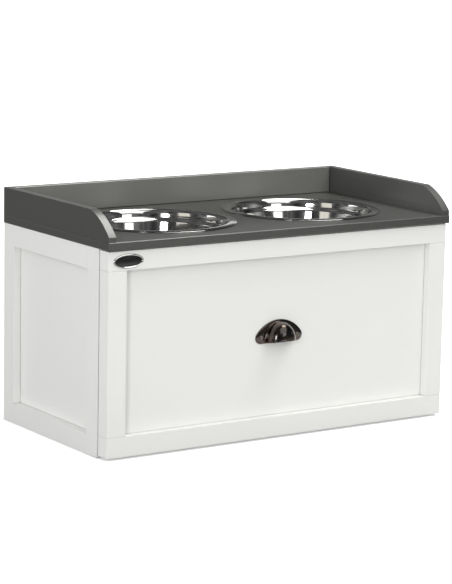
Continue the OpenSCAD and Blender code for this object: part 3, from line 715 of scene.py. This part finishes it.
def arc(centre: Pair, radius: float, start: float, end: float, steps: int) -> list[Pair]:
    """Returns points on an arc.

    Args:
        centre: Centre of the arc.
        radius: Its radius.
        start: Start angle in degrees.
        end: End angle in degrees.
        steps: Number of steps.

    Returns:
        The points, both ends included.
    """
    angles = [math.radians(start + (end - start) * i / steps) for i in range(steps + 1)]
    return [(centre[0] + radius * math.cos(a), centre[1] + radius * math.sin(a)) for a in angles]


def between(a: Pair, b: Pair, share: float) -> Pair:
    """Returns the point at a share of the way from a to b."""
    return a[0] + (b[0] - a[0]) * share, a[1] + (b[1] - a[1]) * share


def subdivided(path: Sequence[Pair], longest: float) -> list[Pair]:
    """Adds points to a path.

    Args:
        path: The path.
        longest: The longest step that is left as it is.

    Returns:
        The path with no step over the longest.
    """
    out = [path[0]]
    for a, b in zip(path, path[1:]):
        pieces = max(1, math.ceil(math.dist(a, b) / longest))
        out += [between(a, b, i / pieces) for i in range(1, pieces + 1)]
    return out


def travelled(path: Sequence[Pair]) -> list[float]:
    """Returns how far along the path each of its points lies."""
    steps = (math.dist(a, b) for a, b in zip(path, path[1:]))
    return list(accumulate(steps, initial=0.0))


def point_at(path: Sequence[Pair], share: float) -> Pair:
    """Finds a point of a path.

    Args:
        path: The path.
        share: Share of its length that lies before the point.

    Returns:
        The point.
    """
    along = travelled(path)
    goal = share * along[-1]
    k = max(1, next((i for i, p in enumerate(along) if p >= goal), len(path) - 1))
    return between(path[k - 1], path[k], (goal - along[k - 1]) / (along[k] - along[k - 1]))


@dataclass
class FeedingBowl:
    """Spun steel bowl that hangs in the tray by its flange, which falls to its bead by droop."""

    side: str
    centre: Point
    rim_radius: float = 0.1205
    rim_height: float = 0.0016
    bead_radius: float = 0.00045
    droop: float = 0.0007
    sheet: float = 0.0008
    flange: float = 0.011
    depth: float = 0.063
    upper_wall: float = 0.0075
    step: float = 0.004
    draft: float = 12.0
    crown: float = 4.0
    slope: float = 30.0
    bend_radius: float = 0.0055
    step_radius: float = 0.003
    corner_radius: float = 0.020
    middle: float = 0.0004
    near_axis: float = 0.001
    tuck: float = 0.0007
    inner_pace: float = 0.0016
    outer_pace: float = 0.004
    smooth_below: float = 60.0
    turns: int = 224

    def inner_path(self, grow: float) -> list[Pair]:
        """Draws the bowl's inner face.

        Args:
            grow: How far the face is moved out, towards the outer face.

        Returns:
            Points of radius and height, from the flange's bend to the bowl's middle.
        """
        draft, slope = math.radians(self.draft), math.radians(self.slope)
        steep, flat = 180 - self.draft - self.crown, 180 - self.draft + self.crown

        def polar(c: Pair, r: float, degrees: float) -> Pair:
            """Returns the point at an angle on a circle."""
            a = math.radians(degrees)
            return c[0] + r * math.cos(a), c[1] + r * math.sin(a)

        bend = (self.rim_radius - self.flange, self.rim_height - self.bend_radius)
        wall_top = polar(bend, self.bend_radius, steep)
        hollow = self.upper_wall / math.radians(2 * self.crown)
        wall_c = polar(wall_top, -hollow, steep)
        wall_end = polar(wall_c, hollow, flat)
        step_c = polar(wall_end, -self.step_radius, self.crown - self.draft)
        shelf_top = polar(step_c, self.step_radius, self.slope - 90)
        shelf_end = (shelf_top[0] - self.step, shelf_top[1] - self.step * math.tan(slope))
        shoulder = polar(shelf_end, -self.step_radius, 90 + self.slope)
        low_top = polar(shoulder, self.step_radius, 180 - self.draft)
        floor = self.rim_height - self.depth
        low_z = floor + self.corner_radius * (1 - math.sin(draft))
        low_end = (low_top[0] - (low_top[1] - low_z) * math.tan(draft), low_z)
        corner = polar(low_end, -self.corner_radius, -self.draft)
        path = arc(bend, self.bend_radius - grow, 90, steep, 10)
        path += arc(wall_c, hollow - grow, steep, flat, 5)[1:-1]
        path += arc(step_c, self.step_radius + grow, self.crown - self.draft, self.slope - 90, 8)
        path += arc(shoulder, self.step_radius - grow, 90 + self.slope, 180 - self.draft, 8)
        path += arc(corner, self.corner_radius + grow, -self.draft, -90, 20)
        return path + [(self.middle, floor - grow)]

    def profile(self) -> list[Pair]:
        """Draws the closed section.

        Returns:
            Points of radius and height: flange and inner face, outer face, and bead.
        """
        edge = self.rim_height - self.droop
        bead_c = (self.rim_radius - self.bead_radius, edge - self.bead_radius)
        crest = self.rim_radius - self.flange
        shares = [1 - i / 10 for i in range(10)]
        fall = [(crest + (bead_c[0] - crest) * t, self.rim_height - self.droop * t * t) for t in shares]
        inner = subdivided([*fall, *self.inner_path(0.0)], self.inner_pace)
        under = (bead_c[0] - self.tuck, edge - self.sheet)
        outer = subdivided([under, *self.inner_path(self.sheet)], self.outer_pace)
        bead = arc(bead_c, self.bead_radius, -150, 80, 14)
        return inner + outer[::-1] + bead

    def build(self, wardrobe: Wardrobe) -> Object:
        """Builds the bowl in the place of its plain solid.

        Args:
            wardrobe: The finishes.

        Returns:
            The bowl.
        """
        mesh = bmesh.new()
        section = self.profile()
        rows = []
        for i in range(self.turns):
            a = 2 * math.pi * i / self.turns
            rows.append([(r * math.cos(a), r * math.sin(a), z) for r, z in section])
        grid = weave_rows(mesh, rows, wrap_rows=True, wrap_columns=True)
        for j, (r, _) in enumerate(section):
            if r < self.near_axis:
                mesh.faces.new([row[j] for row in grid])
        quads = (f for f in mesh.faces if len(f.verts) == 4)
        pipe = [f for f in quads if all(math.hypot(v.co.x, v.co.y) < self.near_axis for v in f.verts)]
        bmesh.ops.delete(mesh, geom=pipe, context="FACES_ONLY")
        piece = new_piece(f"{self.side}_feeding_bowl", mesh, self.smooth_below)
        piece.location = self.centre
        wardrobe.dress(piece, "steel")
        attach(piece, f"{self.side}_bowl")
        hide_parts(f"{self.side}_bowl")
        return piece


@dataclass
class CupPull:
    """Stamped cup pull: an arched plate, and a domed hood that opens downwards.

    The hood's section is a superellipse of the power fullness, drawn upwards by stretch.
    """

    panel_y: float = -0.1315
    screws_z: float = 0.150
    pitch: float = 0.064
    ear_radius: float = 0.009
    rise: float = 0.025
    plate: float = 0.0018
    plate_ease: float = 0.0009
    opening_z: float = -0.0055
    dome_radius: float = 0.0246
    wall: float = 0.0012
    foot_radius: float = 0.0022
    foot_sink: float = 0.0002
    fullness: float = 2.4
    stretch: float = 1.23
    lip_low: float = 0.009
    lip_slope: float = 0.2
    bead_radius: float = 0.0011
    bead_reach: float = 0.025
    bead_lift: float = 0.0013
    bead_gap: float = 0.0004
    smooth_below: float = 35.0
    steps: int = 72
    ring: int = 14

    def place(self, x: float, z: float, out: float) -> Point:
        """Returns the point at x and z from the pull's middle, and out from the panel."""
        return x, self.panel_y - out, self.screws_z + z

    def outline(self, inset: float) -> list[Pair]:
        """Draws the plate's outer edge round the ears and the arch.

        Args:
            inset: How far the edge is moved in.

        Returns:
            Points of x and z, from right to left.
        """
        half = self.pitch / 2
        arch_r = (half**2 + self.rise**2 - self.ear_radius**2) / (2 * (self.rise - self.ear_radius))
        arch_c = (0.0, self.rise - arch_r)
        lean = math.degrees(math.atan2(-arch_c[1], half))
        start = self.dome_radius - self.wall
        right = [(start + (half - start) * i / 8, -self.ear_radius + inset) for i in range(8)]
        right += arc((half, 0.0), self.ear_radius - inset, -90, lean, 24)
        right += arc(arch_c, arch_r - inset, lean, 90, 24)[1:]
        return right + [(-x, z) for x, z in right[-2::-1]]

    def plate_mesh(self, mesh: BMesh) -> None:
        """Adds the plate, which is open behind the hood.

        Args:
            mesh: Mesh that takes the faces.
        """
        reach, ease = self.dome_radius - self.wall, 0.3
        inner = [between((reach, -self.ear_radius), (reach, self.opening_z), i / 4) for i in range(4)]
        inner += arc((0.0, self.opening_z), reach, 0, 180, 60)
        inner += [(-x, z) for x, z in inner[3::-1]]
        outer = self.outline(0.0)
        eased, flat = self.outline(self.plate_ease * ease), self.outline(self.plate_ease)
        along = travelled(outer)
        rows = []
        for i, edge in enumerate(outer):
            near = point_at(inner, along[i] / along[-1])
            section = [
                (near, 0.0), (near, self.plate),
                (flat[i], self.plate), (eased[i], self.plate - ease * self.plate_ease),
                (edge, self.plate - self.plate_ease), (edge, 0.0),
            ]
            rows.append([self.place(x, z, h) for (x, z), h in section])
        self.tube(mesh, rows)

    @staticmethod
    def tube(mesh: BMesh, rows: Sequence[Sequence[Point]]) -> None:
        """Covers a row of closed sections and caps both ends."""
        grid = weave_rows(mesh, rows, wrap_rows=False, wrap_columns=True)
        for row in (grid[0], grid[-1]):
            mesh.faces.new(row)

    def swell(self, radius: float, angle: float) -> Pair:
        """Finds a point of the hood's section, which is fuller than a circle.

        Args:
            radius: Half the section's width.
            angle: Angle in radians, from the panel outwards.

        Returns:
            The distance from the middle and the height over the panel.
        """
        power = 2 / self.fullness
        across, out = math.cos(angle), math.sin(angle)
        return radius * math.copysign(abs(across) ** power, across), radius * abs(out) ** power

    def hood_arc(self, radius: float, start: float, end: float, steps: int) -> list[Pair]:
        """Returns points on the hood's section between two angles in degrees."""
        return [self.swell(radius, math.radians(start + (end - start) * i / steps)) for i in range(steps + 1)]

    def dome_mesh(self, mesh: BMesh) -> None:
        """Adds the hollow hood with a soft foot where it leaves the plate.

        Args:
            mesh: Mesh that takes the faces.
        """
        reach, foot, crest = self.dome_radius, self.foot_radius, 89.4
        foot_c = (reach + foot, self.plate + foot)
        section = [(foot_c[0], self.foot_sink), *arc(foot_c, foot, 270, 180, 8)]
        section += self.hood_arc(reach, 9.0, crest, 30)
        section += self.hood_arc(reach - self.wall, crest, 0.5, 24)
        rows = []
        for i in range(self.steps + 1):
            a = math.pi * i / self.steps
            up = self.stretch * math.sin(a)
            lips = [self.lip_slope * h - self.lip_low for _, h in section]
            rows.append([self.place(r * math.cos(a), r * up + z, h) for (r, h), z in zip(section, lips)])
        self.tube(mesh, rows)

    def bead_mesh(self, mesh: BMesh) -> None:
        """Adds the rolled bead along the hood's lip.

        Args:
            mesh: Mesh that takes the faces.
        """
        reach = self.bead_reach - self.bead_radius
        rows = []
        for i in range(self.steps + 1):
            row = []
            for j in range(self.ring):
                b = 2 * math.pi * j / self.ring
                across, out = self.swell(reach + self.bead_radius * math.cos(b), math.pi * i / self.steps)
                lift = self.bead_lift + self.bead_radius * math.sin(b) + self.lip_slope * out - self.lip_low
                row.append(self.place(across, lift, max(self.bead_gap, out)))
            rows.append(row)
        self.tube(mesh, rows)

    def build(self, wardrobe: Wardrobe) -> Object:
        """Builds the pull in the place of its plain solid.

        Args:
            wardrobe: The finishes.

        Returns:
            The pull.
        """
        mesh = bmesh.new()
        self.plate_mesh(mesh)
        self.dome_mesh(mesh)
        self.bead_mesh(mesh)
        piece = new_piece("stamped_cup_pull", mesh, self.smooth_below)
        wardrobe.dress(piece, "bronze")
        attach(piece, "drawer")
        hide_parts("cup_pull")
        return piece


@dataclass
class NamePlate:
    """Bare oval plate: a domed rim round a dark field, its section in shares of rim and thickness."""

    centre: Point = (-0.2656, -0.1435, 0.2829)
    half_width: float = 0.0246
    half_height: float = 0.0105
    thickness: float = 0.0016
    rim: float = 0.0026
    section: tuple[Pair, ...] = (
        (0.0, 0.0), (0.0, 0.45), (0.12, 0.8), (0.35, 1.0), (0.65, 1.0), (0.88, 0.8), (1.0, 0.5), (1.35, 0.56),
        (2.4, 0.62))
    field_crown: float = 1.05
    field_floor: float = 0.1
    smooth_below: float = 50.0
    steps: int = 96

    def build(self, wardrobe: Wardrobe) -> Object:
        """Builds the plate on the drawer.

        Args:
            wardrobe: The finishes.

        Returns:
            The plate.
        """
        mesh = bmesh.new()
        x, y, z = self.centre
        rows = []
        for i in range(self.steps):
            a = 2 * math.pi * i / self.steps
            row = []
            for inwards, out in self.section:
                wide, high = self.half_width - self.rim * inwards, self.half_height - self.rim * inwards
                row.append((x + wide * math.cos(a), y - out * self.thickness, z + high * math.sin(a)))
            rows.append(row)
        grid = weave_rows(mesh, rows, wrap_rows=True, wrap_columns=False)
        mesh.faces.new([row[0] for row in grid])
        field_face = mesh.faces.new([row[-1] for row in grid])
        crown = bmesh.ops.poke(mesh, faces=[field_face])["verts"][0]
        crown.co.y = y - self.field_crown * self.thickness
        piece = new_piece("bare_oval_plate", mesh, self.smooth_below)
        wardrobe.dress(piece, "plate_rim")
        piece.data.materials.append(wardrobe.get("plate_field"))
        for face in piece.data.polygons:
            middle = face.center - Vector(self.centre)
            wide, high = self.half_width - self.rim, self.half_height - self.rim
            oval = math.hypot(middle.x / wide, middle.z / high)
            inside = oval < 1.0 and middle.y < -self.field_floor * self.thickness
            face.material_index = 1 if inside else 0
        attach(piece, "drawer")
        return piece


@dataclass
class DressedNodes:
    """Carried-over solids of one sub-assembly, with a finish for each."""

    title: str
    finishes: dict[str, str] = field(default_factory=dict)

    def dress(self, nodes: dict[str, Object], wardrobe: Wardrobe) -> None:
        """Gives each solid its finish.

        Args:
            nodes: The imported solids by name.
            wardrobe: The finishes.
        """
        for name, key in self.finishes.items():
            wardrobe.dress(nodes[name], key)
            LOG.info("%s: %s wears %s", self.title, name, key)


def sub_assemblies() -> list[DressedNodes]:
    """Lists the carried-over solids by sub-assembly.

    Returns:
        The sub-assemblies.
    """
    tray = DressedNodes("tray top", {
        "top_board": "grey_x", "left_gallery_board": "grey_y", "right_gallery_board": "grey_y",
        # The back board wears the lighter, sheen-lit grey: the same paint with painted sheen.
        "back_gallery_board": "pale_grey_x", "gallery_screws": "zinc"})
    sides = DressedNodes("cabinet sides", {
        f"{side}_side_{part}": finish
        for side in ("left", "right")
        for part, finish in (("board", "white_z"), ("front_stile", "white_z"), ("rear_stile", "white_z"),
                             ("top_rail", "white_y"), ("bottom_rail", "white_y"))})
    carcass = DressedNodes("carcass", {
        "bottom_panel": "white_x", "back_panel": "white_x", "front_stretcher": "white_x",
        "rear_stretcher": "white_x", "back_panel_screws": "zinc", "cabinet_cam_bolts": "zinc",
        "cabinet_cam_discs": "zinc", "cabinet_dowels": "beech_z"})
    bodies = ("cabinet", "drawer")
    runners = DressedNodes("runners", {
        **{f"{side}_{body}_runner": "enamel" for body in bodies for side in ("left", "right")},
        **{f"{body}_{part}": "zinc" for part in ("runner_screws", "roller_rivets") for body in bodies},
        **{f"{side}_{body}_roller": "nylon" for body in bodies for side in ("left", "right")}})
    front = DressedNodes("drawer front", {
        "drawer_front_panel": "white_x", "drawer_front_top_rail": "white_x",
        "drawer_front_bottom_rail": "white_x", "drawer_front_left_stile": "white_z",
        "drawer_front_right_stile": "white_z", "front_frame_dowels": "beech_z",
        "cup_pull_screws": "worn_bronze"})
    box = DressedNodes("drawer box", {
        "left_drawer_side": "white_y", "right_drawer_side": "white_y", "drawer_back": "white_x",
        "drawer_bottom": "white_x", "drawer_cam_bolts": "zinc", "drawer_cam_discs": "zinc",
        "drawer_dowels": "beech_y", "drawer_back_screws": "zinc"})
    return [tray, sides, carcass, runners, front, box]


@dataclass(frozen=True)
class Softbox:
    """A rectangular lamp that looks at a point. Its power is watts."""

    name: str
    place: Point
    target: Point
    width: float
    height: float
    power: float
    colour: Colour = (1.0, 1.0, 1.0)

    def build(self) -> None:
        """Places the lamp."""
        lamp = bpy.data.lights.new(self.name, "AREA")
        lamp.shape = "RECTANGLE"
        lamp.size, lamp.size_y = self.width, self.height
        lamp.energy = self.power
        lamp.color = self.colour
        holder = bpy.data.objects.new(self.name, lamp)
        holder.location = self.place
        aim = Vector(self.target) - Vector(self.place)
        holder.rotation_euler = aim.to_track_quat("-Z", "Y").to_euler()
        holder.visible_camera = False
        bpy.context.scene.collection.objects.link(holder)


@dataclass
class Studio:
    """White floor, soft lamps, pale surround and the camera, whose lens and sensor are in millimetres."""

    camera_place: Point = (-1.9635, -2.9253, 0.8271)
    azimuth: float = -33.793
    elevation: float = 10.186
    roll: float = -1.128
    lens: float = 146.63
    sensor: float = 36.0
    clip: Pair = (0.05, 60.0)
    floor_half: float = 14.0
    floor_top: float = -0.0005
    floor_tone: float = 0.42
    glow_ramp: Pair = (0.55, 2.6)
    glow: Pair = (0.35, 1.0)
    front_way: Point = (0.55, -0.83, 0.0)
    front_ramp: Pair = (0.1, 0.5)
    near_ramp: Pair = (0.8, 1.25)
    sheen: Pair = (0.16, 0.95)
    rear_way: Point = (0.35, 0.93, 0.0)
    rear_ramp: Pair = (0.1, 0.4)
    backdrop: float = 0.85
    backdrop_top: Pair = (0.168, 0.195)
    clutter_cells: float = 3.2
    clutter_ramp: Pair = (0.38, 0.72)
    clutter: Pair = (0.015, 0.2)
    window_way: Point = (-0.62, 0.76, 0.2)
    window_ramp: Pair = (0.97, 0.982)
    window: float = 2.0
    fill_way: Point = (-1.0, 0.0, 0.0)
    fill: Pair = (0.32, 1.05)
    lamps: tuple[Softbox, ...] = (
        Softbox(
            "overhead_softbox", (0.96, -0.1, 2.5), (0.96, -0.099, 0.3), 1.13, 2.0, 50.0, (1.0, 1.0, 0.965)),
        Softbox("key_softbox", (0.45, -2.2, 1.93), (0.45, -1.25, 0.28), 2.3, 2.2, 23.0, (1.0, 1.0, 0.95)),
        Softbox("front_softbox", (0.36, -1.46, 0.51), (0.36, 0.0, 0.51), 0.47, 0.38, 1.3, (1.0, 1.0, 0.97)),
        Softbox("far_softbox", (-2.45, -2.06, 0.80), (0.0, 0.0, 0.80), 0.62, 0.95, 27.0),
        Softbox("side_softbox", (-2.48, -0.30, 0.85), (0.0, 0.0, 0.85), 0.90, 1.0, 2.2, (1.0, 0.95, 0.85)),
    )

    def camera(self) -> None:
        """Places the camera."""
        a, e, r = (math.radians(v) for v in (self.azimuth, self.elevation, self.roll))
        back = Vector((math.sin(a) * math.cos(e), -math.cos(a) * math.cos(e), math.sin(e)))
        ahead = -back
        right = ahead.cross(Vector((0, 0, 1))).normalized()
        down = ahead.cross(right)
        c, s = math.cos(r), math.sin(r)
        right, down = c * right + s * down, c * down - s * right
        data = bpy.data.cameras.new("photo_camera")
        data.lens, data.sensor_width = self.lens, self.sensor
        data.clip_start, data.clip_end = self.clip
        camera = bpy.data.objects.new("photo_camera", data)
        turn = Matrix((right, -down, back)).transposed().to_4x4()
        camera.matrix_world = Matrix.Translation(self.camera_place) @ turn
        bpy.context.scene.collection.objects.link(camera)
        bpy.context.scene.camera = camera

    def floor(self) -> None:
        """Lays a pale floor that the camera sees as white, apart from the object's shadow."""
        mesh = bmesh.new()
        bmesh.ops.create_grid(mesh, x_segments=8, y_segments=8, size=self.floor_half)
        piece = new_piece("studio_floor", mesh, 30)
        piece.location.z = self.floor_top
        material = bpy.data.materials.new("pale_studio_floor")
        material.use_nodes = True
        web = Web(material.node_tree)
        shader = material.node_tree.nodes["Principled BSDF"]
        shader.inputs["Roughness"].default_value = 0.9
        shader.inputs["Specular IOR Level"].default_value = 0.1
        path = web.add("ShaderNodeLightPath")
        seen = path.outputs["Is Camera Ray"]
        place = web.add("ShaderNodeNewGeometry").outputs["Position"]
        away = web.length(place)
        front = web.remap(web.dot(place, self.front_way), self.front_ramp)
        near = web.remap(away, self.near_ramp, (1.0, 0.0))
        sheen = web.remap(web.product(front, near), (0.0, 1.0), self.sheen)
        channels = dict.fromkeys(("Red", "Green", "Blue"), sheen)
        glossy = web.add("ShaderNodeCombineColor", channels).outputs["Color"]
        tone = web.blend(path.outputs["Is Glossy Ray"], opaque((self.floor_tone,) * 3), glossy)
        web.join(web.blend(seen, tone, CLEAR_WHITE), shader.inputs["Base Color"])
        shader.inputs["Emission Color"].default_value = CLEAR_WHITE
        glow = web.product(seen, web.remap(away, self.glow_ramp, self.glow))
        web.join(glow, shader.inputs["Emission Strength"])
        piece.data.materials.append(material)

    def surround(self) -> None:
        """Builds the world: white to the camera, a fill for the paint, and a dim room for what shines."""
        world = bpy.data.worlds.new("studio_surround")
        bpy.context.scene.world = world
        world.use_nodes = True
        web = Web(world.node_tree)
        for node in list(world.node_tree.nodes):
            world.node_tree.nodes.remove(node)
        path = web.add("ShaderNodeLightPath").outputs
        heading = web.add("ShaderNodeTexCoord").outputs["Generated"]
        height = web.add("ShaderNodeSeparateXYZ", {0: heading}).outputs["Z"]
        rear = web.remap(web.dot(heading, self.rear_way), self.rear_ramp, (0.0, self.backdrop))
        backdrop = web.product(rear, web.remap(height, self.backdrop_top, (1.0, 0.0)))
        clutter = web.remap(web.noise(heading, self.clutter_cells, 3.0, 0.6), self.clutter_ramp, self.clutter)
        window = web.remap(web.dot(heading, self.window_way), self.window_ramp, (0.0, self.window))
        room = web.math("MAXIMUM", web.math("MAXIMUM", backdrop, clutter), window)
        side = web.remap(web.dot(heading, self.fill_way), (0.0, 1.0), self.fill)
        shine, fill, white = (
            web.add("ShaderNodeBackground", {"Color": CLEAR_WHITE, "Strength": strength}).outputs[0]
            for strength in (room, side, 1.0)
        )
        sharp = web.math("MAXIMUM", path["Is Glossy Ray"], path["Is Transmission Ray"])
        lit = web.add("ShaderNodeMixShader", {0: sharp, 1: fill, 2: shine}).outputs[0]
        seen = web.add("ShaderNodeMixShader", {0: path["Is Camera Ray"], 1: lit, 2: white}).outputs[0]
        web.add("ShaderNodeOutputWorld", {"Surface": seen})

    def build(self) -> None:
        """Sets up the whole studio."""
        self.camera()
        self.floor()
        self.surround()
        for lamp in self.lamps:
            lamp.build()
        bpy.context.scene.view_settings.view_transform = "Standard"


def main() -> None:
    """Builds the studio and every piece, in order."""
    logging.basicConfig(level=logging.INFO, format="%(message)s")
    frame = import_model()
    Studio().build()
    wardrobe = Wardrobe()
    for group in sub_assemblies():
        group.dress(frame["nodes"], wardrobe)
    pieces = [
        FeedingBowl("left", (-0.1305, 0.004, 0.3113)).build(wardrobe),
        FeedingBowl("right", (0.1305, 0.004, 0.3113)).build(wardrobe),
        CupPull().build(wardrobe),
        NamePlate().build(wardrobe),
    ]
    for piece in pieces:
        LOG.info("%s: %d faces", piece.name, len(piece.data.polygons))
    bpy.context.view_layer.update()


if __name__ == "__main__":
    main()
